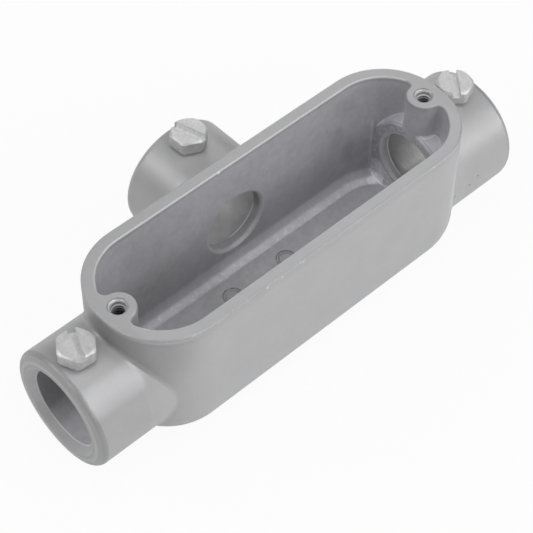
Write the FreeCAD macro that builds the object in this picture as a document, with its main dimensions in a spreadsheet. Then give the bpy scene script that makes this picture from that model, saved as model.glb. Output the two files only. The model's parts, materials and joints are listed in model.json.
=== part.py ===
"""T conduit body: an open oblong box with three socket hubs, each with a slotted set screw.

The frame: millimetres, +Z up, origin at the centre of the flat base, under the crossing of the run
and the branch. The run lies along X, the branch leaves along +Y, and the box is open at the top.
"""
import FreeCAD, Part
import math
import os
import Sketcher

os.makedirs("parts", exist_ok=True)
doc = FreeCAD.newDocument("t_conduit_body")

# Driving dimensions

SIZES = {
    # box
    "box_width": 33.0,
    "box_height": 36.3,
    "end_flat": 2.2,
    "wall": 2.95,
    "floor_thickness": 3.8,
    "base_round": 9.4,
    "floor_round": 3.4,
    "rim_outer_round": 0.45,
    "rim_inner_round": 0.35,
    # hubs: the axis height is a share of the box's height, the reach is from the box's end to the mouth
    "axis_height_share": 0.4408,
    "hub_diameter": 28.2,
    "run_length": 122.9,
    "hub_reach": 12.88,
    "branch_reach": 35.7,
    "mouth_round": 1.8,
    "hub_root_round": 1.3,
    # sockets for the tube, each with a stop and a throat
    "socket_diameter": 18.3,
    "lead_in": 1.6,
    "throat_diameter": 16.0,
    "run_throat_length": 2.3,
    "branch_throat_length": 3.0,
    "throat_round": 0.9,
    # plug inside each end of the box, round on top, that carries the throat
    "plug_inset": 7.97,
    "plug_diameter": 22.4,
    "plug_edge_round": 0.5,
    # bosses and holes for the cover's screws
    "cover_screw_inset": 4.37,
    "boss_diameter": 7.8,
    "boss_root_round": 1.5,
    "cover_hole_diameter": 3.5,
    "cover_hole_depth": 7.5,
    "cover_hole_sink_diameter": 4.4,
    "cover_hole_sink_angle": 90.0,
    # set screws
    "shank_diameter": 4.7,
    "shank_clearance": 0.05,
    "shank_length": 5.0,
    "tip_bevel": 0.6,
    "head_across_flats": 7.94,
    "head_height": 3.2,
    "head_corner_diameter": 8.7,
    "head_top_diameter": 7.5,
    "head_bevel_height": 0.45,
    "slot_width": 1.8,
    "slot_depth": 1.5,
    # ejector-pin marks on the cavity's floor
    "mark_diameter": 4.6,
    "mark_depth": 0.15,
    "mark_offset_x": 8.2,
    "mark_offset_y": 5.6,
}

# Each set screw: how far it stands in from the mouth, the gap under its head, the turn of its slot from +X,
# and the turn of its hexagon's first corner from the slot
SCREWS = {
    "left": {"screw_inset": 6.2, "head_gap": 0.7, "slot_turn": 66.0, "hexagon_turn": -12.0},
    "right": {"screw_inset": 6.7, "head_gap": 0.4, "slot_turn": 51.0, "hexagon_turn": 29.0},
    "branch": {"screw_inset": 6.65, "head_gap": 0.4, "slot_turn": 107.0, "hexagon_turn": -14.4},
}

sheet = doc.addObject("Spreadsheet::Sheet", "Sizes")


def fill_sheet():
    """Writes every driving dimension with its alias."""
    rows = dict(SIZES)
    for side, values in SCREWS.items():
        for name, value in values.items():
            rows["%s_%s" % (name, side)] = value
    for row, (alias, size) in enumerate(rows.items(), start=1):
        sheet.set("A%d" % row, alias)
        sheet.set("B%d" % row, "%.4f" % size)
        sheet.setAlias("B%d" % row, alias)
    doc.recompute()


fill_sheet()


def size(alias):
    """Reads one driving dimension."""
    return float(sheet.get(alias))


def measure(expression):
    """Works out an expression of driving dimensions."""
    return float(sheet.evalExpression(expression))


def bind(thing, prop, expression):
    """Ties a property to the sheet."""
    thing.setExpression(prop, expression)


# Expressions used in more than one place

AXIS_Z = "(Sizes.box_height * Sizes.axis_height_share)"
BOX_END = "(Sizes.run_length / 2 - Sizes.hub_reach)"
STOP_X = "(%s - Sizes.plug_inset)" % BOX_END
COVER_X = "(%s - Sizes.cover_screw_inset)" % BOX_END
INNER_SIDE = "(Sizes.box_width / 2 - Sizes.wall)"
CORNER = "((Sizes.box_width - Sizes.end_flat) / 2)"
SCREW_LEFT_X = "(Sizes.screw_inset_left - Sizes.run_length / 2)"
SCREW_RIGHT_X = "(Sizes.run_length / 2 - Sizes.screw_inset_right)"
SCREW_BRANCH_Y = "(Sizes.branch_reach - Sizes.screw_inset_branch)"
HUB_TOP_Z = "(%s + Sizes.hub_diameter / 2)" % AXIS_Z
PAST = "2 * Sizes.box_height"

QUARTER_TURN = math.pi / 2


# Sketch helpers

def new_body(label):
    body = doc.addObject("PartDesign::Body", label)
    body.Label = label
    return body


def origin_plane(body, role):
    for feature in body.Origin.OriginFeatures:
        if feature.Role == role:
            return feature
    raise RuntimeError("no origin plane " + role)


def new_sketch(body, role, name, offset=None, raised=None):
    """A sketch on one of the body's origin planes, moved along its normal or up by expressions."""
    sketch = body.newObject("Sketcher::SketchObject", name)
    sketch.AttachmentSupport = [(origin_plane(body, role), "")]
    sketch.MapMode = "FlatFace"
    if offset:
        bind(sketch, "AttachmentOffset.Base.z", offset)
    if raised:
        bind(sketch, "AttachmentOffset.Base.y", raised)
    doc.recompute()
    return sketch


def constrain(sketch, name, expression, kind, *places):
    """Adds a named dimension at its present size, and ties it to the sheet."""
    present = float(sketch.evalExpression(expression))
    index = sketch.addConstraint(Sketcher.Constraint(kind, *places, present))
    sketch.renameConstraint(index, name)
    bind(sketch, "Constraints." + name, expression)


def draw_oblong(sketch, half_length, half_width, corner):
    """An oblong with round corners, centred on the sketch's origin."""
    length, width, radius = (float(sketch.evalExpression(expression))
                             for expression in (half_length, half_width, corner))
    arcs = []
    for turn, (across, up) in enumerate(((1, 1), (-1, 1), (-1, -1), (1, -1))):
        centre = FreeCAD.Vector(across * (length - radius), up * (width - radius), 0)
        circle = Part.Circle(centre, FreeCAD.Vector(0, 0, 1), radius)
        start = turn * QUARTER_TURN
        arcs.append(sketch.addGeometry(Part.ArcOfCircle(circle, start, start + QUARTER_TURN)))
    for number, (arc, following) in enumerate(zip(arcs, arcs[1:] + arcs[:1])):
        side = sketch.addGeometry(Part.LineSegment(sketch.getPoint(arc, 2), sketch.getPoint(following, 1)))
        sketch.addConstraint(Sketcher.Constraint("Tangent", arc, 2, side, 1))
        sketch.addConstraint(Sketcher.Constraint("Tangent", side, 2, following, 1))
        sketch.addConstraint(Sketcher.Constraint("Vertical" if number % 2 else "Horizontal", side))
        if number:
            sketch.addConstraint(Sketcher.Constraint("Equal", arcs[0], arc))
    sketch.addConstraint(Sketcher.Constraint("Symmetric", arcs[0], 3, arcs[2], 3, -1, 1))
    constrain(sketch, "corner_radius", corner, "Radius", arcs[0])
    constrain(sketch, "corner_across", "(%s - %s)" % (half_length, corner), "DistanceX", -1, 1, arcs[0], 3)
    constrain(sketch, "corner_up", "(%s - %s)" % (half_width, corner), "DistanceY", -1, 1, arcs[0], 3)


def draw_circle(sketch, name, diameter, across=None, up=None):
    """A circle whose centre is the origin, or stands off it by the given expressions."""
    x = float(sketch.evalExpression(across)) if across else 0.0
    y = float(sketch.evalExpression(up)) if up else 0.0
    radius = float(sketch.evalExpression(diameter)) / 2
    index = sketch.addGeometry(Part.Circle(FreeCAD.Vector(x, y, 0), FreeCAD.Vector(0, 0, 1), radius))
    constrain(sketch, name + "_diameter", diameter, "Diameter", index)
    if across:
        constrain(sketch, name + "_across", across, "DistanceX", -1, 1, index, 3)
    else:
        sketch.addConstraint(Sketcher.Constraint("PointOnObject", index, 3, -2))
    if up:
        constrain(sketch, name + "_up", up, "DistanceY", -1, 1, index, 3)
    else:
        sketch.addConstraint(Sketcher.Constraint("PointOnObject", index, 3, -1))


def draw_outline(sketch, corners):
    """A closed outline of straight lines through corners, each a pair of expressions.

    A corner that lies on one of the sketch's axes has "0" there.
    """
    points = [FreeCAD.Vector(float(sketch.evalExpression(x)), float(sketch.evalExpression(y)), 0)
              for x, y in corners]
    lines = [sketch.addGeometry(Part.LineSegment(start, end))
             for start, end in zip(points, points[1:] + points[:1])]
    for line, following in zip(lines, lines[1:] + lines[:1]):
        sketch.addConstraint(Sketcher.Constraint("Coincident", line, 2, following, 1))
    for number, (line, (x, y)) in enumerate(zip(lines, corners)):
        if x == "0":
            sketch.addConstraint(Sketcher.Constraint("PointOnObject", line, 1, -2))
        else:
            constrain(sketch, "across_%d" % number, x, "DistanceX", -1, 1, line, 1)
        if y == "0":
            sketch.addConstraint(Sketcher.Constraint("PointOnObject", line, 1, -1))
        else:
            constrain(sketch, "up_%d" % number, y, "DistanceY", -1, 1, line, 1)


def draw_rounded_bar(sketch, start, end, radius, rounding):
    """Half section of a bar along the sketch's level axis, its edge at the start rounded."""
    x_start, x_end, half, turn = (float(sketch.evalExpression(expression))
                                  for expression in (start, end, radius, rounding))
    foot = FreeCAD.Vector(x_start, 0, 0)
    far_foot = FreeCAD.Vector(x_end, 0, 0)
    far_top = FreeCAD.Vector(x_end, half, 0)
    corner = Part.Circle(FreeCAD.Vector(x_start + turn, half - turn, 0), FreeCAD.Vector(0, 0, 1), turn)
    face = sketch.addGeometry(Part.LineSegment(foot, FreeCAD.Vector(x_start, half - turn, 0)))
    arc = sketch.addGeometry(Part.ArcOfCircle(corner, QUARTER_TURN, 2 * QUARTER_TURN))
    top = sketch.addGeometry(Part.LineSegment(FreeCAD.Vector(x_start + turn, half, 0), far_top))
    back = sketch.addGeometry(Part.LineSegment(far_top, far_foot))
    axis = sketch.addGeometry(Part.LineSegment(far_foot, foot))
    sketch.addConstraint(Sketcher.Constraint("Tangent", face, 2, arc, 2))
    sketch.addConstraint(Sketcher.Constraint("Tangent", arc, 1, top, 1))
    sketch.addConstraint(Sketcher.Constraint("Coincident", top, 2, back, 1))
    sketch.addConstraint(Sketcher.Constraint("Coincident", back, 2, axis, 1))
    sketch.addConstraint(Sketcher.Constraint("Coincident", axis, 2, face, 1))
    sketch.addConstraint(Sketcher.Constraint("PointOnObject", face, 1, -1))
    sketch.addConstraint(Sketcher.Constraint("Vertical", face))
    sketch.addConstraint(Sketcher.Constraint("Horizontal", axis))
    sketch.addConstraint(Sketcher.Constraint("Horizontal", top))
    sketch.addConstraint(Sketcher.Constraint("Vertical", back))
    constrain(sketch, "start", start, "DistanceX", -1, 1, face, 1)
    constrain(sketch, "end", end, "DistanceX", -1, 1, axis, 1)
    constrain(sketch, "half_section", radius, "DistanceY", -1, 1, top, 1)
    constrain(sketch, "rounding", rounding, "Radius", arc)


# Feature helpers

def new_feature(body, kind, name, profile=None):
    feature = body.newObject("PartDesign::" + kind, name)
    if profile:
        feature.Profile = profile
        profile.Visibility = False
    return feature


def pad(body, name, profile, length, reverse=False, both_ways=False):
    feature = new_feature(body, "Pad", name, profile)
    feature.Reversed = reverse
    feature.Midplane = both_ways
    bind(feature, "Length", length)
    doc.recompute()
    return feature


def pocket(body, name, profile, length, reverse=False):
    feature = new_feature(body, "Pocket", name, profile)
    feature.Reversed = reverse
    bind(feature, "Length", length)
    doc.recompute()
    return feature


def groove(body, name, profile, axis):
    """Turns a profile about one of its sketch's axes, and cuts the body with it."""
    feature = new_feature(body, "Groove", name, profile)
    feature.ReferenceAxis = (profile, [axis])
    feature.Angle = 360.0
    doc.recompute()
    return feature


def mirror(body, name, feature, role):
    """Repeats a feature on the other side of an origin plane, and makes that the body's end."""
    copy = new_feature(body, "Mirrored", name)
    copy.Originals = [feature]
    copy.MirrorPlane = (origin_plane(body, role), [""])
    body.Tip = copy
    doc.recompute()
    return copy


def soften(body, kind, name, width, chosen):
    """A Fillet or Chamfer on the edges of the body's last feature that the test chooses."""
    base = body.Tip
    edges = ["Edge%d" % (number + 1) for number, edge in enumerate(base.Shape.Edges) if chosen(edge)]
    if not edges:
        raise RuntimeError("no edge for " + name)
    feature = new_feature(body, kind, name)
    feature.Base = (base, edges)
    bind(feature, "Radius" if kind == "Fillet" else "Size", width)
    doc.recompute()
    return feature


def near(value, target, within=0.01):
    return abs(value - target) < within


def lies_at_height(edge, z):
    return near(edge.BoundBox.ZMin, z) and near(edge.BoundBox.ZMax, z)


def is_circle(edge, radius):
    return isinstance(edge.Curve, Part.Circle) and near(edge.Curve.Radius, radius)


# Body casting: outside

def casting_outside(body):
    """The oblong box with its rounded base, and the hubs run through it as plain cylinders."""
    plan = new_sketch(body, "XY_Plane", "box_plan")
    draw_oblong(plan, BOX_END, "(Sizes.box_width / 2)", CORNER)
    pad(body, "box", plan, "Sizes.box_height")
    soften(body, "Fillet", "base_rounding", "Sizes.base_round", lambda edge: lies_at_height(edge, 0))

    run_section = new_sketch(body, "YZ_Plane", "run_section")
    draw_circle(run_section, "hub", "Sizes.hub_diameter", up=AXIS_Z)
    pad(body, "run_hubs", run_section, "Sizes.run_length", both_ways=True)

    branch_section = new_sketch(body, "XZ_Plane", "branch_section")
    draw_circle(branch_section, "hub", "Sizes.hub_diameter", up=AXIS_Z)
    pad(body, "branch_hub", branch_section, "Sizes.branch_reach", reverse=True)

    hub_radius = size("hub_diameter") / 2
    run_end = size("run_length") / 2
    branch_end = size("branch_reach")

    def at_mouth(edge):
        centre = edge.BoundBox.Center
        return is_circle(edge, hub_radius) and (near(abs(centre.x), run_end) or near(centre.y, branch_end))

    soften(body, "Fillet", "mouth_rounding", "Sizes.mouth_round", at_mouth)

    def at_root(edge):
        """Where a hub leaves the box: on the hub's cylinder, and curved in space."""
        box = edge.BoundBox
        reaches_out = max(abs(box.XMin), abs(box.XMax)) > measure(BOX_END) - size("box_width") / 2
        on_side = near(box.YMin, size("box_width") / 2) and near(box.YMax, size("box_width") / 2)
        if on_side:
            return is_circle(edge, hub_radius)
        if is_circle(edge, hub_radius):
            return near(max(abs(box.XMin), abs(box.XMax)), measure(BOX_END))
        if not reaches_out:
            return False
        for point in edge.discretize(5):
            from_axis = ((point.z - measure(AXIS_Z)) ** 2 + point.y ** 2) ** 0.5
            if not near(from_axis, hub_radius):
                return False
        return not isinstance(edge.Curve, Part.Line)

    soften(body, "Fillet", "hub_root_rounding", "Sizes.hub_root_round", at_root)


# Body casting: the space inside the box

def cavity_core(body):
    """The solid form of the cavity: the casting is cut with it."""
    plan = new_sketch(body, "XY_Plane", "cavity_plan", "Sizes.floor_thickness")
    draw_oblong(plan, "(%s - Sizes.wall)" % BOX_END, INNER_SIDE, "(%s - Sizes.wall)" % CORNER)
    pad(body, "cavity", plan, "Sizes.box_height")
    soften(body, "Fillet", "floor_rounding", "Sizes.floor_round",
           lambda edge: lies_at_height(edge, size("floor_thickness")))

    round_plug = new_sketch(body, "XZ_Plane", "plug_profile", raised=AXIS_Z)
    draw_rounded_bar(round_plug, STOP_X, "(%s + Sizes.wall)" % BOX_END, "(Sizes.plug_diameter / 2)",
                     "Sizes.plug_edge_round")
    mirror(body, "plug_space_left", groove(body, "plug_space", round_plug, "H_Axis"), "YZ_Plane")

    foot = new_sketch(body, "YZ_Plane", "plug_foot_section", STOP_X)
    side = "(Sizes.box_width / 2)"
    below = "(-Sizes.box_width / 2)"
    draw_outline(foot, [(side, AXIS_Z), (below, AXIS_Z),
                        (below, "(Sizes.floor_thickness / 2)"), (side, "(Sizes.floor_thickness / 2)")])
    foot_cut = pocket(body, "plug_foot_space", foot, "Sizes.box_width", reverse=True)
    mirror(body, "plug_foot_space_left", foot_cut, "YZ_Plane")

    stop = measure(STOP_X)
    bosses = new_sketch(body, "XY_Plane", "boss_sections", "Sizes.floor_thickness")
    draw_circle(bosses, "right", "Sizes.boss_diameter", across=COVER_X)
    draw_circle(bosses, "left", "Sizes.boss_diameter", across="(-%s)" % COVER_X)
    pocket(body, "boss_spaces", bosses, PAST, reverse=True)

    def at_boss_root(edge):
        box = edge.BoundBox
        upright = isinstance(edge.Curve, Part.Line) and near(box.XLength, 0) and near(box.YLength, 0)
        return upright and abs(box.XMin) > stop and abs(box.YMin) < size("boss_diameter") / 2

    soften(body, "Fillet", "boss_root_rounding", "Sizes.boss_root_round", at_boss_root)


# Body casting: sockets, throats and holes

def socket_profile(sketch, stop, mouth, throat_length):
    """Half section of one way in: throat, stop, socket and lead-in, about the sketch's level axis."""
    throat = "(Sizes.throat_diameter / 2)"
    socket = "(Sizes.socket_diameter / 2)"
    socket_start = "(%s + %s)" % (stop, throat_length)
    lead_start = "(%s - Sizes.lead_in)" % mouth
    lead_end = "(Sizes.socket_diameter / 2 + Sizes.lead_in)"
    inside = "(%s - Sizes.wall)" % stop
    outside_mouth = "(%s + Sizes.wall)" % mouth
    draw_outline(sketch, [(inside, "0"), (inside, throat), (socket_start, throat), (socket_start, socket),
                          (lead_start, socket), (mouth, lead_end), (outside_mouth, lead_end),
                          (outside_mouth, "0")])


def casting_ways(body):
    """The three sockets with their throats, and the rounded inner edge of each throat."""
    run_profile = new_sketch(body, "XZ_Plane", "run_socket_profile", raised=AXIS_Z)
    socket_profile(run_profile, STOP_X, "(Sizes.run_length / 2)", "Sizes.run_throat_length")
    right = groove(body, "run_socket_right", run_profile, "H_Axis")
    mirror(body, "run_socket_left", right, "YZ_Plane")
    branch_profile = new_sketch(body, "YZ_Plane", "branch_socket_profile", raised=AXIS_Z)
    socket_profile(branch_profile, INNER_SIDE, "Sizes.branch_reach", "Sizes.branch_throat_length")
    groove(body, "branch_socket", branch_profile, "H_Axis")

    throat_radius = size("throat_diameter") / 2
    stop = measure(STOP_X)
    inner_side = measure(INNER_SIDE)

    def at_throat(edge):
        centre = edge.BoundBox.Center
        at_stop = near(abs(centre.x), stop)
        at_side = near(edge.BoundBox.YMin, inner_side) and near(edge.BoundBox.YMax, inner_side)
        return is_circle(edge, throat_radius) and (at_stop or at_side)

    soften(body, "Fillet", "throat_rounding", "Sizes.throat_round", at_throat)


def casting_holes(body):
    """Holes for the set screws, tapped holes for the cover and ejector-pin marks on the floor."""
    tops = new_sketch(body, "XY_Plane", "set_screw_holes", AXIS_Z)
    hole = "(Sizes.shank_diameter + 2 * Sizes.shank_clearance)"
    draw_circle(tops, "right", hole, across=SCREW_RIGHT_X)
    draw_circle(tops, "left", hole, across=SCREW_LEFT_X)
    draw_circle(tops, "branch", hole, up=SCREW_BRANCH_Y)
    pocket(body, "set_screw_holes_cut", tops, "Sizes.hub_diameter", reverse=True)

    rim = new_sketch(body, "XY_Plane", "cover_holes", "Sizes.box_height")
    draw_circle(rim, "right", "Sizes.cover_hole_diameter", across=COVER_X)
    draw_circle(rim, "left", "Sizes.cover_hole_diameter", across="(-%s)" % COVER_X)
    drilled = new_feature(body, "Hole", "cover_holes_drilled", rim)
    drilled.ThreadType = "None"
    drilled.DepthType = "Dimension"
    drilled.DrillPoint = "Angled"
    bind(drilled, "Diameter", "Sizes.cover_hole_diameter")
    bind(drilled, "Depth", "Sizes.cover_hole_depth")
    drilled.HoleCutType = "Countersink"
    bind(drilled, "HoleCutDiameter", "Sizes.cover_hole_sink_diameter")
    bind(drilled, "HoleCutCountersinkAngle", "Sizes.cover_hole_sink_angle")
    doc.recompute()

    marks = new_sketch(body, "XY_Plane", "ejector_marks", "(Sizes.floor_thickness - Sizes.mark_depth)")
    for side, across in (("right", "Sizes.mark_offset_x"), ("left", "(-Sizes.mark_offset_x)")):
        draw_circle(marks, side, "Sizes.mark_diameter", across, "Sizes.mark_offset_y")
    pocket(body, "ejector_marks_cut", marks, "Sizes.floor_thickness", reverse=True)


def casting_rim(body):
    """The rim's edges, rounded outside and inside."""
    top = size("box_height")
    half_width = size("box_width") / 2
    sink = size("cover_hole_sink_diameter") / 2
    corner = measure(CORNER)

    def on_outer_rim(edge):
        if not lies_at_height(edge, top):
            return False
        point = edge.valueAt((edge.FirstParameter + edge.LastParameter) / 2)
        beyond = max(abs(point.x) - measure(BOX_END) + corner, 0.0)
        aside = max(abs(point.y) - half_width + corner, 0.0)
        return near((beyond ** 2 + aside ** 2) ** 0.5, corner)

    def on_inner_rim(edge):
        return lies_at_height(edge, top) and not on_outer_rim(edge) and not is_circle(edge, sink)

    soften(body, "Fillet", "rim_outer_rounding", "Sizes.rim_outer_round", on_outer_rim)
    soften(body, "Fillet", "rim_inner_rounding", "Sizes.rim_inner_round", on_inner_rim)


def make_casting():
    body = new_body("body_casting")
    casting_outside(body)
    core = new_body("cavity_core")
    cavity_core(core)
    hollow = new_feature(body, "Boolean", "cavity_cut")
    hollow.Type = "Cut"
    hollow.addObjects([core])
    body.Tip = hollow
    doc.recompute()
    casting_ways(body)
    casting_holes(body)
    casting_rim(body)
    return body


# Set screws

def set_screw(side, across, along):
    """A slotted hexagon-head set screw: its head stands on its own origin, its slot runs along its X."""
    body = new_body("set_screw_" + side)
    head = body.newObject("PartDesign::AdditivePrism", "head_" + side)
    head.Polygon = 6
    bind(head, "Circumradius", "Sizes.head_across_flats / 2 / cos(30 deg)")
    bind(head, "Height", "Sizes.head_height")
    bind(head, "Placement.Rotation.Angle", "Sizes.hexagon_turn_" + side)
    doc.recompute()

    bevel = new_sketch(body, "XZ_Plane", "head_bevel_" + side)
    round_top = "(Sizes.head_top_diameter / 2)"
    corner = "(Sizes.head_corner_diameter / 2)"
    above = "(Sizes.head_height + Sizes.head_bevel_height)"
    below = "(-Sizes.head_bevel_height)"
    draw_outline(bevel, [(round_top, "Sizes.head_height"),
                         (round_top, above),
                         ("Sizes.head_across_flats", above),
                         ("Sizes.head_across_flats", below),
                         (corner, below),
                         (corner, "(Sizes.head_height - Sizes.head_bevel_height)")])
    groove(body, "head_bevel_cut_" + side, bevel, "V_Axis")

    slot = new_sketch(body, "YZ_Plane", "slot_" + side)
    half = "(Sizes.slot_width / 2)"
    low = "(Sizes.head_height - Sizes.slot_depth)"
    high = "(Sizes.head_height + Sizes.slot_depth)"
    draw_outline(slot, [("(-%s)" % half, low), (half, low), (half, high), ("(-%s)" % half, high)])
    slot_cut = pocket(body, "slot_cut_" + side, slot, "(2 * Sizes.head_across_flats)")
    slot_cut.Midplane = True
    doc.recompute()

    shank = body.newObject("PartDesign::AdditiveCylinder", "shank_" + side)
    bind(shank, "Radius", "Sizes.shank_diameter / 2")
    bind(shank, "Height", "Sizes.shank_length")
    bind(shank, "Placement.Base.z", "-Sizes.shank_length")
    doc.recompute()
    soften(body, "Chamfer", "tip_" + side, "Sizes.tip_bevel",
           lambda edge: lies_at_height(edge, -size("shank_length")))

    bind(body, "Placement.Base.x", across)
    bind(body, "Placement.Base.y", along)
    bind(body, "Placement.Base.z", "(%s + Sizes.head_gap_%s)" % (HUB_TOP_Z, side))
    bind(body, "Placement.Rotation.Angle", "Sizes.slot_turn_" + side)
    doc.recompute()
    return body


casting = make_casting()
parts = [
    casting,
    set_screw("left", SCREW_LEFT_X, "0"),
    set_screw("right", SCREW_RIGHT_X, "0"),
    set_screw("branch", "0", SCREW_BRANCH_Y),
]

for thing in doc.Objects:
    if "Invalid" in thing.State or "Error" in thing.State:
        raise RuntimeError("failed: " + thing.Name)
for body in parts:
    if body.Shape.isNull() or not body.Shape.isValid():
        raise RuntimeError("no good shape: " + body.Label)
    body.Shape.exportStep("parts/%s.step" % body.Label)
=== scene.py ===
"""T conduit body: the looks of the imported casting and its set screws, laid out as an add-on."""

import json
import math

import bmesh
import bpy
from mathutils import Matrix, Vector


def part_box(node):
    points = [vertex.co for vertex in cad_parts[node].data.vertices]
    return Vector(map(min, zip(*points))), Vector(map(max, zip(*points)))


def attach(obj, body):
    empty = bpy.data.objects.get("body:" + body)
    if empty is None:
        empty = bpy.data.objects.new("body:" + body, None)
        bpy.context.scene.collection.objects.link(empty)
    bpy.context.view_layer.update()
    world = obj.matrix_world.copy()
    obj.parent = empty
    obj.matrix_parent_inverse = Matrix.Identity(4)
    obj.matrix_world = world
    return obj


bl_info = {
    "name": "T conduit body",
    "version": (1, 0, 0),
    "blender": (4, 5, 0),
    "location": "View3D > Sidebar > Conduit Body",
    "description": "Finishes, threads and stage of a cast T conduit body",
    "category": "Object",
}

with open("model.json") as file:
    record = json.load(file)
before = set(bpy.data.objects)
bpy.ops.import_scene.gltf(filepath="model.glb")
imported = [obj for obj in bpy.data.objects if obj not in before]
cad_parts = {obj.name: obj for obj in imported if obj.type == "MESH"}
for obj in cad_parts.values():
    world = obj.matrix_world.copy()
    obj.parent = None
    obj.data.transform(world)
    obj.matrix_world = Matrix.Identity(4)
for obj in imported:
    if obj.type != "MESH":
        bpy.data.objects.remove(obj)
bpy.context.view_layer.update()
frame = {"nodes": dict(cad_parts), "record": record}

MM = 0.001
SCREW_NODES = ("set_screw_left", "set_screw_right", "set_screw_branch")
MOUNTS = {mount["name"]: mount for mount in frame["record"]["mounts"]}

# Heights of the casting's rim, floor and run axis, and the radius of its sockets
RIM = MOUNTS["cover_screws"]["pos_m"][2]
FLOOR = 3.8 * MM
AXIS = MOUNTS["run_right"]["pos_m"][2]
SOCKET = MOUNTS["run_right"]["dims"]["r_mm"] * MM

# Where the ways in start in the end plugs and in the far side, and where they end at the mouths
STOP = 40.6 * MM
SIDE = 13.55 * MM
RUN_MOUTH = 61.45 * MM
BRANCH_MOUTH = 35.7 * MM

# Radii of throats, hubs and plugs, lengths of throats and lead-in, and the throats' rounded entry
THROAT = 8.0 * MM
THROAT_ROUND = 0.9 * MM
RUN_THROAT = 2.3 * MM
BRANCH_THROAT = 3.0 * MM
LEAD_IN = 1.6 * MM
HUB = 14.1 * MM
PLUG = 11.2 * MM

# The box's plan: centre of its round corners, their radii outside and inside, and the fillet round its floor
ROUND_CENTRE = (33.17 * MM, 1.1 * MM)
OUTER_ROUND = 15.4 * MM
INNER_ROUND = 12.45 * MM
FILLET = 3.4 * MM

# Holes for the cover's screws, and the ejector pins' marks in the floor
HOLE_X = MOUNTS["cover_screws"]["dims"]["spacing_x_mm"] * MM / 2
SINK = 2.2 * MM
MARK = (8.2 * MM, 5.6 * MM)
MARK_RINGS = (2.3 * MM, 1.7 * MM)

# A set screw's head: its height and how far its flanks are from its axis
HEAD_HEIGHT = 3.2 * MM
HEAD_FLANK = 3.8 * MM

# The painted highlight band along the left hub faces this way across the run, along Y and up
BAND_FACING = (-0.67, 0.74)

# The floor: half its side, how far it lies below the casting, and how much of its look is its own glow
FLOOR_REACH = 4.0
FLOOR_DROP = 0.1 * MM
FLOOR_GLOW = 0.93

# The lamps round the object: azimuth and elevation in degrees, power in watts
LIT_POINT = Vector((0.0, 0.0, 0.02))
LAMPS = (
    (0, 90, 2.4),
    (0, 65, 0.7),
    (45, 65, 0.9),
    (90, 65, 0.5),
    (180, 65, 0.5),
    (315, 65, 0.2),
    (0, 38, 3.9),
    (45, 38, 1.7),
    (135, 38, 1.2),
    (180, 38, 0.4),
    (225, 38, 3.0),
    (270, 38, 2.6),
    (0, 14, 0.8),
    (45, 14, 3.6),
    (135, 14, 1.9),
    (180, 14, 0.5),
    (225, 14, 0.5),
)

# Painted shade on the box's left end, a centre and a radius
SHADED_END_SPOT = (((-0.049, -0.004, 0.033), 0.022),)

# Small marks of wear, and a painted glint of light, each a centre and a radius
NICKS = (
    ((-0.0046, 0.0137, 0.0362), 0.0006),
    ((-0.0182, -0.0164, 0.0362), 0.0005),
    ((-0.0141, -0.0164, 0.0361), 0.0004),
    ((-0.0081, -0.0163, 0.0363), 0.0004),
    ((-0.0255, -0.0160, 0.0060), 0.0004),
)
PITS = (
    ((0.0472, -0.0141, 0.0164), 0.0006),
    ((0.0498, -0.0140, 0.0175), 0.0005),
    ((0.0478, -0.0141, 0.0149), 0.0005),
    ((0.0424, -0.0142, 0.0160), 0.0008),
)
PAINTED_GLINTS = (((0.0395, 0.0091, 0.0046), 0.0018),)
STAINS = (
    ((0.0370, 0.0128, 0.0140), 0.0060),
    ((0.0300, 0.0136, 0.0210), 0.0050),
    ((0.0400, 0.0112, 0.0080), 0.0050),
)

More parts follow.
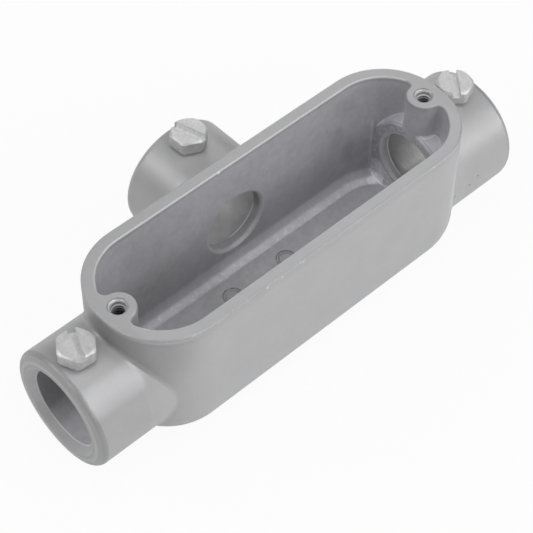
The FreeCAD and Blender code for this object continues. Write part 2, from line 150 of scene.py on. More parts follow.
# How bright each toned place of the casting is, as a share of the plain skin; most are painted light and
# shade: painted highlights, lit places and shaded faces and hollows, while the rubbed edge, nicks, pits,
# stains, ejector rings and the plug faces' roughness are real marks
TONES = {
    # Outside: painted shade on the left end and left hub, painted highlights on the left hub's band and the
    # right hub's root, painted light on the near side and the base's round
    "dull_end": 0.8,
    "left_hub": 0.95,
    "hub_band": 1.2,
    "bright_root": 1.2,
    "near_side": 1.04,
    "base_round": 1.15,
    # Near rim: painted light on its face, painted shade on its outer edge and just below it
    "near_rim_face": 1.06,
    "near_rim_edge": 0.9,
    "below_rim": 0.95,
    # Inside the box: painted shade low on the walls, on the left wall and on the left of the fillet, painted
    # light on the floor, a painted highlight along the fillet
    "low_wall": 0.8,
    "left_wall": 0.91,
    "floor": 1.22,
    "fillet": 1.38,
    "left_fillet": 0.88,
    "fillet_speckle": 1.15,
    "top_of_wall": 0.85,
    # painted highlight along the rim's inner edge
    "inner_edge": 1.35,
    # Plugs: painted light on their tops, painted highlights behind them, at their feet and beside them,
    # painted shade on their faces; the faces' roughness is real
    "plug_top": 1.3,
    "behind_plug": 1.5,
    "plug_foot": 1.7,
    "plug_face_rough": 1.35,
    "plug_face": 0.85,
    "beside_plug": 1.15,
    # Run's ways in: painted highlights on the throats' entries and far edges, the lead-in and the bore's
    # edge; painted shade in the sockets' far side and on the mouths' rings, rounds and brows; painted light
    # on the sockets' lit sides
    "run_entry": 1.25,
    "run_edge": 1.6,
    "run_socket_far": 0.54,
    "left_socket_lit": 1.4,
    "right_socket_lit": 1.45,
    "mouth_ring": 0.8,
    "mouth_round": 0.86,
    "mouth_brow": 0.82,
    "lead_in": 1.06,
    "bore_edge": 1.15,
    # Branch: painted highlights on its entry and far edge, painted shade in its throat, painted light in its
    # socket
    "branch_entry": 1.3,
    "branch_throat": 0.86,
    "branch_throat_top": 0.7,
    "branch_edge": 2.0,
    "branch_socket": 1.22,
    # Cover screw holes: painted shade on the countersinks' far edge and down the holes, painted highlights on
    # the countersinks' slopes and on the threads' crests
    "sink_edge": 0.6,
    "sink_face": 1.25,
    "screw_hole": 0.45,
    "thread_crest": 1.6,
    "ejector_rings": 0.6,
    "stains": 0.85,
    "pits": 0.45,
    "rubbed_edge": 1.2,
    "nicks": 1.6,
    # painted highlight: a glint by the right plug's foot
    "glints": 1.3,
}


# Settings

class CastingSettings(bpy.types.PropertyGroup):
    """Finish of the casting."""

    skin_colour: bpy.props.FloatVectorProperty(
        name="Skin colour", description="Colour of the outer as-cast skin",
        subtype="COLOR", size=3, min=0.0, max=1.0, default=(0.48, 0.48, 0.488))
    inside_colour: bpy.props.FloatVectorProperty(
        name="Inside colour", description="Colour of the duller skin inside the box",
        subtype="COLOR", size=3, min=0.0, max=1.0, default=(0.58, 0.575, 0.60))
    socket_colour: bpy.props.FloatVectorProperty(
        name="Socket colour", description="Colour of the turned skin inside the sockets",
        subtype="COLOR", size=3, min=0.0, max=1.0, default=(0.55, 0.55, 0.55))
    metallic: bpy.props.FloatProperty(
        name="Metallic", description="How much of the skin's shine is that of bare metal",
        min=0.0, max=1.0, default=0.2)
    roughness: bpy.props.FloatProperty(
        name="Roughness", description="Roughness of the skin", min=0.0, max=1.0, default=0.4)
    grain_size: bpy.props.FloatProperty(
        name="Grain size", description="Size of the skin's fine grain",
        subtype="DISTANCE", unit="LENGTH", min=0.00005, max=0.01, default=0.0006)


class ScrewSettings(bpy.types.PropertyGroup):
    """Finish and details of the set screws."""

    plate_colour: bpy.props.FloatVectorProperty(
        name="Plate colour", description="Colour of the bright zinc plate",
        subtype="COLOR", size=3, min=0.0, max=1.0, default=(0.72, 0.72, 0.725))
    edge_round: bpy.props.FloatProperty(
        name="Edge rounding", description="Rounding of the head's edges",
        subtype="DISTANCE", unit="LENGTH", min=0.0, max=0.001, default=0.00014)
    edge_angle: bpy.props.FloatProperty(
        name="Edge angle", description="How sharply two faces have to meet to be rounded",
        subtype="ANGLE", unit="ROTATION", min=0.0, max=math.pi, default=math.radians(28))
    thread_pitch: bpy.props.FloatProperty(
        name="Thread pitch", description="Pitch of the shank's thread",
        subtype="DISTANCE", unit="LENGTH", min=0.0001, max=0.005, default=0.00106)


class CoverThreadSettings(bpy.types.PropertyGroup):
    """Threads in the two holes for the cover's screws."""

    pitch: bpy.props.FloatProperty(
        name="Pitch", description="Distance from one turn to the next",
        subtype="DISTANCE", unit="LENGTH", min=0.0001, max=0.005, default=0.00079)
    depth: bpy.props.FloatProperty(
        name="Thread depth", description="How far a crest stands out from the hole's wall",
        subtype="DISTANCE", unit="LENGTH", min=0.00005, max=0.002, default=0.00036)
    start_depth: bpy.props.FloatProperty(
        name="Start", description="Depth of the first turn below the rim",
        subtype="DISTANCE", unit="LENGTH", min=0.0, max=0.01, default=0.0006)
    end_depth: bpy.props.FloatProperty(
        name="End", description="Depth of the last turn below the rim",
        subtype="DISTANCE", unit="LENGTH", min=0.0, max=0.02, default=0.0072)


class StageSettings(bpy.types.PropertyGroup):
    """Floor, lamps and camera."""

    floor_colour: bpy.props.FloatVectorProperty(
        name="Floor colour", description="Colour of the pale floor",
        subtype="COLOR", size=3, min=0.0, max=1.0, default=(0.9, 0.9, 0.9))
    mirrored_share: bpy.props.FloatProperty(
        name="Mirrored share", description="How bright the floor looks in the object's shine",
        min=0.0, max=1.0, default=0.52)
    world_strength: bpy.props.FloatProperty(
        name="World strength", description="Strength of the even light all round",
        min=0.0, max=5.0, default=0.0)
    lamp_share: bpy.props.FloatProperty(
        name="Lamp share", description="Share of each lamp's power that is used",
        min=0.0, max=10.0, default=1.0)
    lamp_size: bpy.props.FloatProperty(
        name="Lamp size", description="Side of each square lamp",
        subtype="DISTANCE", unit="LENGTH", min=0.01, max=5.0, default=0.5)
    lamp_distance: bpy.props.FloatProperty(
        name="Lamp distance", description="Distance from each lamp to the object's middle",
        subtype="DISTANCE", unit="LENGTH", min=0.2, max=10.0, default=1.3)
    focal_length: bpy.props.FloatProperty(
        name="Focal length", description="Focal length of the camera on a 36 mm sensor",
        min=10.0, max=500.0, default=117.124)
    camera_distance: bpy.props.FloatProperty(
        name="Camera distance", description="Distance from the camera to the point it looks at",
        subtype="DISTANCE", unit="LENGTH", min=0.05, max=5.0, default=0.370393)
    azimuth: bpy.props.FloatProperty(
        name="Azimuth", description="Turn of the camera about the upright axis",
        subtype="ANGLE", unit="ROTATION", default=math.radians(-43.484))
    elevation: bpy.props.FloatProperty(
        name="Elevation", description="Height of the camera above the level",
        subtype="ANGLE", unit="ROTATION", default=math.radians(50.639))
    roll: bpy.props.FloatProperty(
        name="Roll", description="Turn of the camera about its own line of sight",
        subtype="ANGLE", unit="ROTATION", default=math.radians(0.810))
    target: bpy.props.FloatVectorProperty(
        name="Target", description="Point that the camera looks at",
        subtype="XYZ", size=3, unit="LENGTH", default=(-0.008256, -0.005217, 0.024087))


# Shader graphs

class Finish:
    """A material whose nodes are added one call at a time."""

    def __init__(self, name):
        self.material = bpy.data.materials.new(name)
        self.material.use_nodes = True
        self.tree = self.material.node_tree
        self.tree.nodes.clear()
        self.places = 0

    def node(self, kind, inputs=None, **settings):
        """Adds a node; each input is a plain value or another node's output."""
        node = self.tree.nodes.new(kind)
        node.location = (220 * (self.places % 12), -260 * (self.places // 12))
        self.places += 1
        for name, value in settings.items():
            setattr(node, name, value)
        for name, value in (inputs or {}).items():
            if isinstance(value, bpy.types.NodeSocket):
                self.tree.links.new(value, node.inputs[name])
            else:
                node.inputs[name].default_value = value
        return node

    def sum(self, operation, first, second=0.0, third=0.0):
        """Output of a math node."""
        inputs = dict(enumerate((first, second, third)))
        return self.node("ShaderNodeMath", inputs, operation=operation).outputs[0]

    def product(self, *factors):
        """Output of several factors multiplied."""
        total = factors[0]
        for factor in factors[1:]:
            total = self.sum("MULTIPLY", total, factor)
        return total

    def length(self, first, second):
        """Output of the length of a line that reaches first one way and second the other."""
        squares = self.sum("ADD", self.product(first, first), self.product(second, second))
        return self.sum("SQRT", squares)

    def over(self, value, limit):
        """Output of how far a value is past a limit on either side of zero."""
        return self.sum("MAXIMUM", self.sum("SUBTRACT", self.sum("ABSOLUTE", value), limit), 0.0)

    def centred(self, noise, swing):
        """Output of a noise that swings about zero."""
        return self.sum("MULTIPLY", self.sum("SUBTRACT", noise, 0.5), swing)

    def smooth(self, value, low, high, start=0.0, end=1.0):
        """Output of a smooth step from low to high."""
        step = self.node("ShaderNodeMapRange", {"Value": value, "From Min": low, "From Max": high,
                                                "To Min": start, "To Max": end},
                         interpolation_type="SMOOTHSTEP")
        return step.outputs["Result"]

    def above(self, value, limit, width):
        """Output that rises from zero at the limit to one at the limit and the width."""
        return self.smooth(value, limit, limit + width)

    def below(self, value, limit, width):
        """Output that falls from one at the limit to zero at the limit and the width."""
        return self.smooth(value, limit, limit + width, 1.0, 0.0)

    def ring(self, value, middle, half):
        """Output that is one at the middle value and fades to zero half a width off it."""
        off = self.sum("ABSOLUTE", self.sum("SUBTRACT", value, middle))
        return self.smooth(off, 0.5 * half, half, 1.0, 0.0)

    def noise(self, place, size, detail=3.0, roughness=0.55):
        """Output of a noise whose features are about size across."""
        texture = self.node("ShaderNodeTexNoise", {"Vector": place, "Scale": 1.0 / size, "Detail": detail,
                                                   "Roughness": roughness})
        return texture.outputs["Fac"]

    def spots(self, place, marks):
        """Output that is one on each mark, a centre and a radius, and fades to its rim."""
        total = 0.0
        for centre, radius in marks:
            line = self.node("ShaderNodeVectorMath", {0: place, 1: centre}, operation="DISTANCE")
            mark = self.smooth(line.outputs["Value"], 0.4 * radius, radius, 1.0, 0.0)
            total = self.sum("MAXIMUM", total, mark)
        return total

    def mix(self, factor, first, second):
        """Output of a colour mix."""
        mix = self.node("ShaderNodeMix", {"Factor": factor}, data_type="RGBA")
        for socket, colour in ((mix.inputs[6], first), (mix.inputs[7], second)):
            if isinstance(colour, bpy.types.NodeSocket):
                self.tree.links.new(colour, socket)
            else:
                socket.default_value = (*colour, 1.0)
        return mix.outputs[2]

    def scaled(self, colour, share):
        """Output of a colour made brighter or duller by a share."""
        scale = self.node("ShaderNodeVectorMath", {0: colour, "Scale": share}, operation="SCALE")
        return scale.outputs["Vector"]

    def show(self, shader):
        """Sends a shader to the material's surface."""
        self.node("ShaderNodeOutputMaterial", {"Surface": shader})
        return self.material


# The casting's finish, with painted light and shade

class CastingPlaces:
    """Coordinates, distances, noises and regions that the casting's masks share."""

    def __init__(self, finish, grain_size):
        self.place = finish.node("ShaderNodeTexCoord").outputs["Object"]
        self.x, self.y, self.z = finish.node("ShaderNodeSeparateXYZ", {0: self.place}).outputs
        self.away = finish.sum("ABSOLUTE", self.x)
        self.off_axis = finish.sum("SUBTRACT", self.z, AXIS)
        self.from_run = finish.length(self.y, self.off_axis)
        self.from_branch = finish.length(self.x, self.off_axis)
        self.from_middle = finish.length(finish.over(self.x, ROUND_CENTRE[0]),
                                         finish.over(self.y, ROUND_CENTRE[1]))
        self.grain = finish.noise(self.place, grain_size, 4.0)
        self.fine = finish.noise(self.place, 1.6 * MM, 4.0, 0.6)
        self.mottle = finish.noise(self.place, 6 * MM, 3.0)
        self.swell = finish.noise(self.place, 14 * MM, 1.0)
        self.in_cavity = finish.product(finish.below(self.from_middle, INNER_ROUND + 0.1 * MM, 0.2 * MM),
                                        finish.below(self.z, RIM - 0.7 * MM, 0.4 * MM),
                                        finish.above(self.z, FLOOR - 0.5 * MM, 0.5 * MM))
        self.on_floor = finish.product(self.in_cavity, finish.below(self.z, FLOOR + 0.5 * MM, 0.5 * MM))
        self.near_side = finish.product(finish.below(self.y, -8 * MM, 8 * MM),
                                        finish.below(self.away, 44 * MM, 3 * MM))


def way_in(finish, along, radius, throat_length, mouth):
    """Masks of one way in, by how far along its axis and how far off it a place is."""
    within = finish.below(radius, THROAT + 0.05 * MM, 0.05 * MM)
    at_mouth = finish.above(along, mouth - LEAD_IN - 0.1 * MM, 0.1 * MM)
    return {
        "entry": finish.product(finish.below(radius, THROAT + THROAT_ROUND, 0.1 * MM),
                                finish.above(along, 0.0, 0.15 * MM),
                                finish.below(along, THROAT_ROUND, 0.15 * MM)),
        "throat": finish.product(within, finish.above(along, THROAT_ROUND, 0.15 * MM),
                                 finish.below(along, throat_length - 0.05 * MM, 0.05 * MM)),
        "edge": finish.product(within, finish.above(along, throat_length - 0.35 * MM, 0.05 * MM),
                               finish.below(along, throat_length, 0.05 * MM)),
        "socket": finish.product(finish.below(radius, SOCKET + 0.05 * MM, 0.05 * MM),
                                 finish.above(along, throat_length - 0.05 * MM, 0.05 * MM)),
        "lead": finish.product(at_mouth, finish.above(radius, SOCKET, 0.1 * MM),
                               finish.below(radius, SOCKET + LEAD_IN, 0.2 * MM)),
        "ring": finish.product(at_mouth, finish.ring(radius, SOCKET + LEAD_IN + 0.5 * MM, 0.5 * MM)),
        "round": finish.product(at_mouth, finish.ring(radius, HUB - 1.2 * MM, 0.6 * MM)),
        "brow": finish.product(at_mouth, finish.ring(radius, HUB, 0.8 * MM)),
        "bore_edge": finish.product(at_mouth, finish.ring(radius, SOCKET + 0.15 * MM, 0.15 * MM)),
    }


def run_masks(finish, at):
    """Throats, sockets and mouths at both ends of the run, with their painted highlights, painted light and
    painted shade.
    """
    along = finish.sum("SUBTRACT", at.away, STOP)
    way = way_in(finish, along, at.from_run, RUN_THROAT, RUN_MOUTH - STOP)
    left = finish.below(at.x, -1 * MM, 1 * MM)
    right = finish.above(at.x, 0.0, 1 * MM)
    return {
        "run_throat": way["throat"],
        "run_socket": way["socket"],
        # painted highlights on the throats' rounded entries and far edges
        "run_entry": way["entry"],
        "run_edge": way["edge"],
        # painted shade in the sockets' far side, painted light on their lit sides
        "run_socket_far": finish.product(way["socket"], finish.above(at.y, 3.5 * MM, 5 * MM)),
        "left_socket_lit": finish.product(way["socket"], left, finish.below(at.y, 0.0, 5 * MM)),
        "right_socket_lit": finish.product(way["socket"], right, finish.below(at.y, 3.5 * MM, 3 * MM)),
        # painted shade on the mouths' rings, rounds and brows; painted highlights on the lead-in and the
        # bore's edge
        "mouth_ring": way["ring"],
        "mouth_round": way["round"],
        "mouth_brow": way["brow"],
        "lead_in": way["lead"],
        "bore_edge": way["bore_edge"],
    }


def branch_masks(finish, at):
    """Throat and socket of the branch, with painted highlights on its entry and far edge, painted shade in
    its throat and painted light in its socket.
    """
    along = finish.sum("SUBTRACT", at.y, SIDE)
    way = way_in(finish, along, at.from_branch, BRANCH_THROAT, BRANCH_MOUTH - SIDE)
    return {
        # painted highlights on the entry and far edge, painted shade in the throat, painted light in the
        # socket
        "branch_entry": way["entry"],
        "branch_throat": way["throat"],
        "branch_throat_top": finish.product(way["throat"], finish.above(at.z, AXIS - 3 * MM, 3 * MM)),
        "branch_edge": finish.product(way["edge"], finish.above(at.x, -1 * MM, 3 * MM),
                                      finish.below(at.z, AXIS - 3 * MM, 3 * MM)),
        "branch_socket": way["socket"],
    }


def rim_masks(finish, at):
    """The rim, its edges, and the holes for the cover's screws: painted light and shade on the near rim, a
    painted highlight on the inner edge, painted shade and highlights in the holes, and the rubbed edge's real
    wear.
    """
    on_rim = finish.above(at.z, RIM - 0.1 * MM, 0.08 * MM)
    near_rim = finish.product(finish.above(at.z, RIM - 0.9 * MM, 0.6 * MM),
                              finish.above(at.from_middle, OUTER_ROUND - 0.6 * MM, 0.3 * MM))
    scuffs = finish.above(finish.noise(at.place, 1.1 * MM, 3.0, 0.7), 0.58, 0.08)
    from_hole = finish.length(finish.sum("SUBTRACT", at.away, HOLE_X), at.y)
    far_half = finish.above(at.y, 0.0, 0.8 * MM)
    return {
        # painted light on the near rim's face, painted shade along its outer edge
        "near_rim_face": finish.product(on_rim, at.near_side),
        "near_rim_edge": finish.product(near_rim, at.near_side),
        "rubbed_edge": finish.product(near_rim, scuffs),
        # painted shade just below the near rim
        "below_rim": finish.product(finish.ring(at.z, RIM - 1.5 * MM, 0.9 * MM), at.near_side),
        # painted highlight along the rim's inner edge
        "inner_edge": finish.product(finish.ring(at.from_middle, INNER_ROUND + 0.1 * MM, 0.28 * MM),
                                     finish.above(at.z, RIM - 0.5 * MM, 0.2 * MM),
                                     finish.above(at.y, -2 * MM, 8 * MM),
                                     finish.above(from_hole, 5.4 * MM, 1.2 * MM)),
        # painted shade on the countersinks' far edge and down the holes, painted highlights on their slopes
        # and the threads' crests
        "sink_edge": finish.product(finish.ring(from_hole, SINK, 0.16 * MM), far_half),
        "sink_face": finish.product(finish.ring(from_hole, SINK - 0.25 * MM, 0.2 * MM), far_half),
        "screw_hole": finish.product(finish.below(from_hole, 1.8 * MM, 0.1 * MM),
                                     finish.below(at.z, RIM - 3.4 * MM, 2.8 * MM)),
        "thread_crest": finish.product(finish.below(from_hole, 1.5 * MM, 0.15 * MM),
                                       finish.below(at.z, RIM - 0.6 * MM, 0.2 * MM)),
    }


def wear_and_glint_masks(finish, at):
    """Nicks, pits and stains, a painted glint of light, and the rings that the ejector pins left in the
    floor.
    """
    jitter = finish.node("ShaderNodeTexNoise", {"Vector": at.place, "Scale": 1500.0}).outputs["Color"]
    ragged = finish.node("ShaderNodeMix", {"Factor": 0.0006, "A": at.place, "B": jitter},
                         data_type="VECTOR").outputs["Result"]
    stains = finish.spots(at.place, STAINS)
    from_mark = finish.length(finish.sum("SUBTRACT", at.away, MARK[0]), finish.sum("SUBTRACT", at.y, MARK[1]))
    rings = finish.sum("MAXIMUM", *(finish.ring(from_mark, radius, 0.22 * MM) for radius in MARK_RINGS))
    return {
        "nicks": finish.spots(ragged, NICKS),
        "pits": finish.spots(ragged, PITS),
        # painted highlight: a glint by the right plug's foot
        "glints": finish.spots(at.place, PAINTED_GLINTS),
        "stains": finish.product(stains, finish.above(at.mottle, 0.35, 0.3), at.in_cavity),
        "ejector_rings": finish.product(rings, at.on_floor, finish.above(at.fine, 0.38, 0.1)),
    }


def box_masks(finish, at):
    """The box's floor, the fillet round it and the walls: painted light on the floor, a painted highlight
    along the fillet, painted shade low on the walls, on the left wall and on the left of the fillet.
    """
    fillet = finish.product(at.in_cavity, finish.above(at.from_middle, INNER_ROUND - FILLET, 0.6 * MM),
                            finish.below(at.z, FLOOR + 1.7 * MM, 1.5 * MM))
    speckle = finish.above(finish.noise(at.place, 0.9 * MM, 2.0, 0.7), 0.5, 0.2)
    return {
        # painted light on the floor, a painted highlight along the fillet and painted shade on its left part
        "floor": at.on_floor,
        "fillet": fillet,
        "left_fillet": finish.product(fillet, finish.below(at.x, -12 * MM, 15 * MM)),
        "fillet_speckle": finish.product(at.in_cavity,
                                         finish.ring(at.from_middle, INNER_ROUND - 2.4 * MM, 1.4 * MM),
                                         finish.below(at.z, FLOOR + 1.2 * MM, 1.2 * MM), speckle),
        # painted shade low on the walls and on the left wall
        "low_wall": finish.product(at.in_cavity, finish.below(at.z, 9 * MM, 18 * MM)),
        "left_wall": finish.product(at.in_cavity, finish.below(at.x, -32 * MM, 25 * MM),
                                    finish.above(at.z, 10 * MM, 4 * MM)),
        "top_of_wall": finish.product(at.in_cavity, finish.above(at.z, RIM - 1.5 * MM, 0.8 * MM)),
    }


def plug_masks(finish, at):
    """The plugs at the box's ends: painted light on their tops, painted highlights behind them, at their feet
    and beside them, painted shade on their faces, and their faces' real roughness.
    """
    high = finish.above(at.z, AXIS + 2 * MM, 2 * MM)
    from_plug = finish.length(at.y, finish.sum("MAXIMUM", at.off_axis, 0.0))
    face = finish.product(at.in_cavity, finish.ring(at.away, STOP, 0.2 * MM),
                          finish.above(at.from_run, THROAT + THROAT_ROUND, 0.2 * MM),
                          finish.below(from_plug, PLUG - 0.5 * MM, 0.4 * MM))
    rough = finish.above(finish.noise(at.place, 1.2 * MM, 3.0, 0.7), 0.42, 0.3)
    return {
        # painted light on the plugs' tops and painted highlights behind them
        "plug_top": finish.product(at.in_cavity, finish.above(at.away, STOP + 0.6 * MM, 0.4 * MM),
                                   finish.ring(at.from_run, PLUG, 0.35 * MM), high),
        "behind_plug": finish.product(at.in_cavity, finish.above(at.away, STOP + 0.3 * MM, 0.6 * MM),
                                      finish.ring(at.from_run, PLUG + 0.35 * MM, 0.3 * MM), high),
        # painted shade on the plugs' faces, a painted highlight at their feet; the faces' roughness is real
        "plug_face": face,
        "plug_foot": finish.product(face, finish.below(at.z, 8.5 * MM, 4 * MM)),
        "plug_face_rough": finish.product(face, rough),
        # painted highlight along the wall beside each plug
        "beside_plug": finish.product(at.in_cavity, finish.ring(at.away, STOP - 0.2 * MM, 0.35 * MM),
                                      finish.above(at.y, 10.6 * MM, 0.4 * MM),
                                      finish.below(at.z, 21 * MM, 3 * MM)),
    }


def outside_masks(finish, at):
    """The near side and base in painted light, the left end and left hub in painted shade, and painted
    highlight bands on the left hub and the right hub's root.
    """
    across, up = BAND_FACING
    towards = finish.sum("ADD", finish.product(at.y, across), finish.product(at.off_axis, up))
    facing = finish.sum("DIVIDE", towards, HUB)
    return {
        # painted light: the near side a little brighter, the base's round brighter as if lit from the floor
        "near_side": at.near_side,
        "base_round": finish.product(finish.below(at.z, 1.5 * MM, 5 * MM), at.near_side),
        # painted shade on the box's left end, below the rim
        "dull_end": finish.product(finish.spots(at.place, SHADED_END_SPOT),
                                   finish.below(at.z, RIM - 1.6 * MM, 0.8 * MM),
                                   finish.below(at.from_middle, OUTER_ROUND + 0.2 * MM, 0.4 * MM)),
        # painted shade over the left hub
        "left_hub": finish.product(finish.below(at.x, -49 * MM, 1 * MM),
                                   finish.above(at.from_run, HUB - 1 * MM, 0.4 * MM)),
        # painted highlight band along the left hub
        "hub_band": finish.product(finish.above(facing, 0.945, 0.05), finish.below(at.x, -48 * MM, 1.5 * MM),
                                   finish.ring(at.from_run, HUB, 0.8 * MM)),
        # painted highlight band on the right hub's root
        "bright_root": finish.product(finish.ring(at.x, 40.4 * MM, 1.5 * MM),
                                      finish.below(at.y, -13 * MM, 0.6 * MM),
                                      finish.above(at.z, 12 * MM, 3 * MM),
                                      finish.below(at.z, 29 * MM, 4 * MM)),
    }


MASK_GROUPS = (run_masks, branch_masks, rim_masks, wear_and_glint_masks, box_masks, plug_masks, outside_masks)


def casting_finish(settings):
    """Satin as-cast skin: duller and blotched inside the box, worn at the edges, pitted in a few places, with
    painted highlights, painted light and painted shade toned into its colour.
    """
    finish = Finish("casting_skin")
    at = CastingPlaces(finish, settings.grain_size)
    masks = {}
    for group in MASK_GROUPS:
        masks.update(group(finish, at))
    in_socket = finish.sum("MAXIMUM", masks["run_socket"], masks["branch_socket"])
    in_throat = finish.sum("MAXIMUM", masks["run_throat"], masks["branch_throat"])
    inside = finish.sum("MAXIMUM", at.in_cavity, finish.sum("MAXIMUM", in_socket, in_throat))

    # colour: one of three skins, blotched, then brightened or dulled by the tones, most of them painted light
    # and shade
    turned = finish.product(in_socket, finish.above(at.x, -20 * MM, 10 * MM))
    base = finish.mix(inside, settings.skin_colour, settings.inside_colour)
    base = finish.mix(turned, base, settings.socket_colour)
    blotch = finish.sum("ADD", finish.centred(at.mottle, 0.10), finish.centred(at.grain, 0.08))
    inner_blotch = finish.sum("ADD", finish.centred(at.fine, 0.35), finish.centred(at.mottle, 0.12))
    bright = finish.sum("ADD", finish.sum("ADD", blotch, finish.product(inside, inner_blotch)), 1.0)
    for name, share in TONES.items():
        bright = finish.product(bright, finish.smooth(masks[name], 0.0, 1.0, 1.0, share))
    colour = finish.scaled(base, bright)

    # roughness and relief
    rough = finish.sum("ADD", settings.roughness, finish.centred(at.fine, 0.10))
    rough = finish.sum("ADD", rough, finish.product(inside, 0.06))
    height = finish.sum("ADD", finish.product(at.grain, 0.18), finish.product(at.swell, 0.9))
    height = finish.sum("ADD", height, finish.product(inside, at.fine, 1.1))
    sunk = finish.sum("MAXIMUM", masks["pits"], masks["ejector_rings"])
    height = finish.sum("SUBTRACT", height, finish.product(sunk, 1.2))
    bump = finish.node("ShaderNodeBump", {"Strength": 0.6, "Distance": 0.2 * MM, "Height": height})
    shader = finish.node("ShaderNodeBsdfPrincipled", {
        "Base Color": colour,
        "Metallic": settings.metallic,
        "Roughness": rough,
        "Normal": bump.outputs["Normal"],
    })
    return finish.show(shader.outputs[0])


# The other finishes

def thread_height(finish, x, y, z, pitch):
    """Height of a thread that winds down a shank from its head's underside, where z is zero."""
    turn = finish.sum("DIVIDE", finish.sum("ARCTAN2", y, x), 2 * math.pi)
    phase = finish.sum("FRACT", finish.sum("SUBTRACT", finish.sum("DIVIDE", z, pitch), turn))
    ridge = finish.product(finish.sum("ABSOLUTE", finish.sum("SUBTRACT", phase, 0.5)), 2.0)
    return finish.product(ridge, finish.below(z, -0.05 * MM, 0.05 * MM))


def screw_finish(settings, centre):
    """Bright zinc plate, with the thread's turns on the shank about the screw's own axis, painted shade on
    the head's flanks and painted light in the slot.
    """
    finish = Finish("zinc_plate")
    place = finish.node("ShaderNodeTexCoord").outputs["Object"]
    from_centre = finish.node("ShaderNodeVectorMath", {0: place, 1: centre}, operation="SUBTRACT")
    x, y, z = finish.node("ShaderNodeSeparateXYZ", {0: from_centre.outputs["Vector"]}).outputs
    from_axis = finish.length(x, y)
    scratch = finish.noise(place, 0.8 * MM, 4.0)
    blotch = finish.noise(place, 3 * MM, 3.0)
    speck = finish.noise(place, 0.9 * MM, 3.0, 0.7)

    # painted shade on the head's flanks; painted light on the slot's floor and the shank
    painted_shade_flank = finish.product(finish.below(z, HEAD_HEIGHT - 0.6 * MM, 0.2 * MM),
                           finish.above(from_axis, HEAD_FLANK, 0.1 * MM))
    painted_light_slot = finish.product(finish.below(z, HEAD_HEIGHT - 0.3 * MM, 0.2 * MM),
                             finish.below(from_axis, HEAD_FLANK, 0.1 * MM))
    uneven = finish.sum("ADD", finish.centred(blotch, 0.25), finish.centred(speck, 0.5))
    bright = finish.sum("ADD", 1.0, uneven)
    for mask, share in ((painted_shade_flank, 0.78), (painted_light_slot, 1.15)):
        bright = finish.product(bright, finish.smooth(mask, 0.0, 1.0, 1.0, share))

    thread = thread_height(finish, x, y, z, settings.thread_pitch)
    height = finish.sum("ADD", thread, finish.product(scratch, 0.2))
    bump = finish.node("ShaderNodeBump", {"Strength": 1.0, "Distance": 0.3 * MM, "Height": height})
    shader = finish.node("ShaderNodeBsdfPrincipled", {
        "Base Color": finish.scaled(settings.plate_colour, bright),
        "Metallic": 0.45,
        "Roughness": finish.sum("ADD", 0.3, finish.product(blotch, 0.2)),
        "Normal": bump.outputs["Normal"],
    })
    return finish.show(shader.outputs[0])


def floor_finish(settings):
    """White floor that keeps the object's shadow."""
    finish = Finish("pale_floor")
    rays = finish.node("ShaderNodeLightPath")
    seen = finish.sum("MAXIMUM", rays.outputs["Is Camera Ray"],
                      finish.product(rays.outputs["Is Glossy Ray"], settings.mirrored_share))
    matte = finish.node("ShaderNodeBsdfDiffuse", {"Color": (*settings.floor_colour, 1.0)})
    glow = finish.node("ShaderNodeEmission", {"Color": (1.0, 1.0, 1.0, 1.0), "Strength": 1.0})
    share = finish.product(seen, FLOOR_GLOW)
    shader = finish.node("ShaderNodeMixShader", {0: share, 1: matte.outputs[0], 2: glow.outputs[0]})
    return finish.show(shader.outputs[0])


# Meshes

def new_piece(name, mesh_builder, material, body):
    """A new object from a bmesh, smooth, in the row frame, riding on a CAD body."""
    mesh = bpy.data.meshes.new(name)
    mesh_builder.to_mesh(mesh)
    mesh_builder.free()
    mesh.polygons.foreach_set("use_smooth", [True] * len(mesh.polygons))
    piece = bpy.data.objects.new(name, mesh)
    bpy.context.scene.collection.objects.link(piece)
    mesh.materials.append(material)
    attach(piece, body)
    return piece


def helical_ridge(builder, centre, radius, depth, pitch, top, bottom, steps=36):
    """A triangular ridge that winds down a hole's wall from top to bottom."""
    count = int((top - bottom) / pitch * steps)
    wall = radius + 0.02 * MM
    half_foot = Vector((0, 0, 0.44 * pitch))
    previous = None
    for step in range(count + 1):
        angle = 2 * math.pi * step / steps
        fade = min(1.0, step / steps, (count - step) / steps)
        outward = Vector((math.cos(angle), math.sin(angle), 0.0))
        on_axis = Vector((centre[0], centre[1], top - pitch * step / steps))
        crest = on_axis + outward * (radius - depth * fade)
        foot = on_axis + outward * wall
        ring = [builder.verts.new(point) for point in (foot + half_foot, crest, foot - half_foot)]
        if previous:
            for low, high in ((0, 1), (1, 2), (2, 0)):
                builder.faces.new((previous[low], previous[high], ring[high], ring[low]))
        else:
            builder.faces.new(ring)
        previous = ring
    builder.faces.new(reversed(previous))


# Operators

class CONDUIT_OT_finish_casting(bpy.types.Operator):
    """Give the casting its as-cast skin, with painted light and shade toned in"""

    bl_idname = "conduit.finish_casting"
    bl_label = "Finish Casting"

    def execute(self, context):
        casting = frame["nodes"]["body_casting"]
        material = casting_finish(context.scene.conduit_casting)
        for slot in casting.material_slots:
            slot.material = material
        return {"FINISHED"}


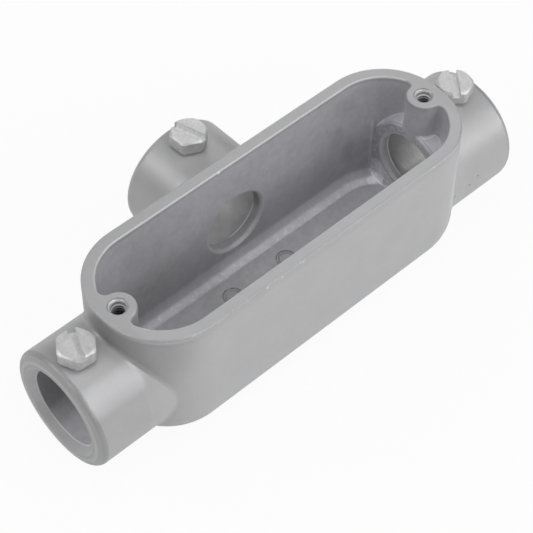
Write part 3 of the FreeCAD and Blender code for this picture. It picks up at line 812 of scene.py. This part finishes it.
class CONDUIT_OT_cut_cover_threads(bpy.types.Operator):
    """Wind the threads in the two holes for the cover's screws"""

    bl_idname = "conduit.cut_cover_threads"
    bl_label = "Cut Cover Threads"

    def execute(self, context):
        settings = context.scene.conduit_cover_threads
        pattern = MOUNTS["cover_screws"]
        hole = pattern["dims"]["hole_r_mm"] * MM
        material = frame["nodes"]["body_casting"].material_slots[0].material
        for side, sign in (("left", -1), ("right", 1)):
            centre = (sign * HOLE_X, pattern["pos_m"][1])
            builder = bmesh.new()
            helical_ridge(builder, centre, hole, settings.depth, settings.pitch,
                          RIM - settings.start_depth, RIM - settings.end_depth)
            bmesh.ops.recalc_face_normals(builder, faces=builder.faces)
            new_piece("cover_thread_" + side, builder, material, "casting")
        return {"FINISHED"}


class CONDUIT_OT_finish_screws(bpy.types.Operator):
    """Plate the set screws, soften their edges and show their threads"""

    bl_idname = "conduit.finish_screws"
    bl_label = "Finish Set Screws"

    def execute(self, context):
        settings = context.scene.conduit_screws
        for name in SCREW_NODES:
            screw = frame["nodes"][name]
            low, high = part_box(name)
            under_head = ((low[0] + high[0]) / 2, (low[1] + high[1]) / 2, high[2] - HEAD_HEIGHT)
            material = screw_finish(settings, under_head)
            for slot in screw.material_slots:
                slot.material = material
            bevel = screw.modifiers.new("edge_rounding", "BEVEL")
            bevel.width = settings.edge_round
            bevel.segments = 3
            bevel.limit_method = "ANGLE"
            bevel.angle_limit = settings.edge_angle
            bevel.harden_normals = True
        return {"FINISHED"}


def add_lamp(azimuth, elevation, power, settings):
    """A soft square lamp that hangs around the object and looks at its middle."""
    data = bpy.data.lights.new("lamp_%d_%d" % (azimuth, elevation), "AREA")
    data.energy = power * settings.lamp_share
    data.size = settings.lamp_size
    lamp = bpy.data.objects.new(data.name, data)
    turn, rise = math.radians(azimuth), math.radians(elevation)
    away = Vector((math.sin(turn) * math.cos(rise), -math.cos(turn) * math.cos(rise), math.sin(rise)))
    lamp.location = LIT_POINT + away * settings.lamp_distance
    lamp.rotation_mode = "QUATERNION"
    lamp.rotation_quaternion = away.to_track_quat("Z", "Y")
    bpy.context.scene.collection.objects.link(lamp)


def add_camera(settings):
    """The camera at the photograph's place and turn."""
    turn, rise, roll = settings.azimuth, settings.elevation, settings.roll
    back = Vector((math.sin(turn) * math.cos(rise), -math.cos(turn) * math.cos(rise), math.sin(rise)))
    level = Vector((math.cos(turn), math.sin(turn), 0.0))
    upright = back.cross(level)
    right = level * math.cos(roll) + upright * math.sin(roll)
    up = upright * math.cos(roll) - level * math.sin(roll)
    data = bpy.data.cameras.new("camera")
    data.lens = settings.focal_length
    data.sensor_width = 36.0
    data.clip_start = 0.01
    data.clip_end = 50.0
    camera = bpy.data.objects.new("camera", data)
    place = Vector(settings.target) + back * settings.camera_distance
    turned = Matrix((right, up, back)).transposed().to_4x4()
    camera.matrix_world = Matrix.Translation(place) @ turned
    bpy.context.scene.collection.objects.link(camera)
    bpy.context.scene.camera = camera


def lay_floor(settings):
    """The wide pale floor, just below the casting."""
    builder = bmesh.new()
    bmesh.ops.create_grid(builder, x_segments=1, y_segments=1, size=FLOOR_REACH)
    mesh = bpy.data.meshes.new("floor")
    builder.to_mesh(mesh)
    builder.free()
    mesh.materials.append(floor_finish(settings))
    floor = bpy.data.objects.new("floor", mesh)
    floor.location = (0.0, 0.0, -FLOOR_DROP)
    bpy.context.scene.collection.objects.link(floor)


def white_room(settings):
    """A world that looks white behind the object and lights it only as much as is set."""
    world = bpy.data.worlds.new("white_room")
    world.use_nodes = True
    tree = world.node_tree
    tree.nodes.clear()
    rays = tree.nodes.new("ShaderNodeLightPath")
    lit = tree.nodes.new("ShaderNodeBackground")
    lit.inputs["Strength"].default_value = settings.world_strength
    white = tree.nodes.new("ShaderNodeBackground")
    mix = tree.nodes.new("ShaderNodeMixShader")
    out = tree.nodes.new("ShaderNodeOutputWorld")
    for background in (lit, white):
        background.inputs["Color"].default_value = (1.0, 1.0, 1.0, 1.0)
    tree.links.new(rays.outputs["Is Camera Ray"], mix.inputs[0])
    tree.links.new(lit.outputs[0], mix.inputs[1])
    tree.links.new(white.outputs[0], mix.inputs[2])
    tree.links.new(mix.outputs[0], out.inputs["Surface"])
    return world


class CONDUIT_OT_set_stage(bpy.types.Operator):
    """Lay the pale floor, hang the lamps and place the camera"""

    bl_idname = "conduit.set_stage"
    bl_label = "Set Stage"

    def execute(self, context):
        settings = context.scene.conduit_stage
        lay_floor(settings)
        for azimuth, elevation, power in LAMPS:
            add_lamp(azimuth, elevation, power, settings)
        add_camera(settings)
        context.scene.world = white_room(settings)
        context.scene.view_settings.view_transform = "Standard"
        return {"FINISHED"}


class CONDUIT_PT_panel(bpy.types.Panel):
    """The conduit body's steps and settings"""

    bl_label = "T Conduit Body"
    bl_space_type = "VIEW_3D"
    bl_region_type = "UI"
    bl_category = "Conduit Body"

    def draw(self, context):
        for group, operator in PANEL_ROWS:
            box = self.layout.box()
            settings = getattr(context.scene, group)
            for name in settings.bl_rna.properties.keys():
                if name not in ("rna_type", "name"):
                    box.prop(settings, name)
            box.operator(operator)


PANEL_ROWS = (
    ("conduit_casting", "conduit.finish_casting"),
    ("conduit_cover_threads", "conduit.cut_cover_threads"),
    ("conduit_screws", "conduit.finish_screws"),
    ("conduit_stage", "conduit.set_stage"),
)

SETTINGS = {
    "conduit_casting": CastingSettings,
    "conduit_cover_threads": CoverThreadSettings,
    "conduit_screws": ScrewSettings,
    "conduit_stage": StageSettings,
}

CLASSES = (
    *SETTINGS.values(),
    CONDUIT_OT_finish_casting,
    CONDUIT_OT_cut_cover_threads,
    CONDUIT_OT_finish_screws,
    CONDUIT_OT_set_stage,
    CONDUIT_PT_panel,
)


def register():
    for one in CLASSES:
        bpy.utils.register_class(one)
    for name, group in SETTINGS.items():
        setattr(bpy.types.Scene, name, bpy.props.PointerProperty(type=group))


def unregister():
    for name in SETTINGS:
        delattr(bpy.types.Scene, name)
    for one in reversed(CLASSES):
        bpy.utils.unregister_class(one)


def main():
    """Dress the frame."""
    register()
    bpy.ops.conduit.finish_casting()
    bpy.ops.conduit.cut_cover_threads()
    bpy.ops.conduit.finish_screws()
    bpy.ops.conduit.set_stage()


if __name__ == "__main__":
    main()
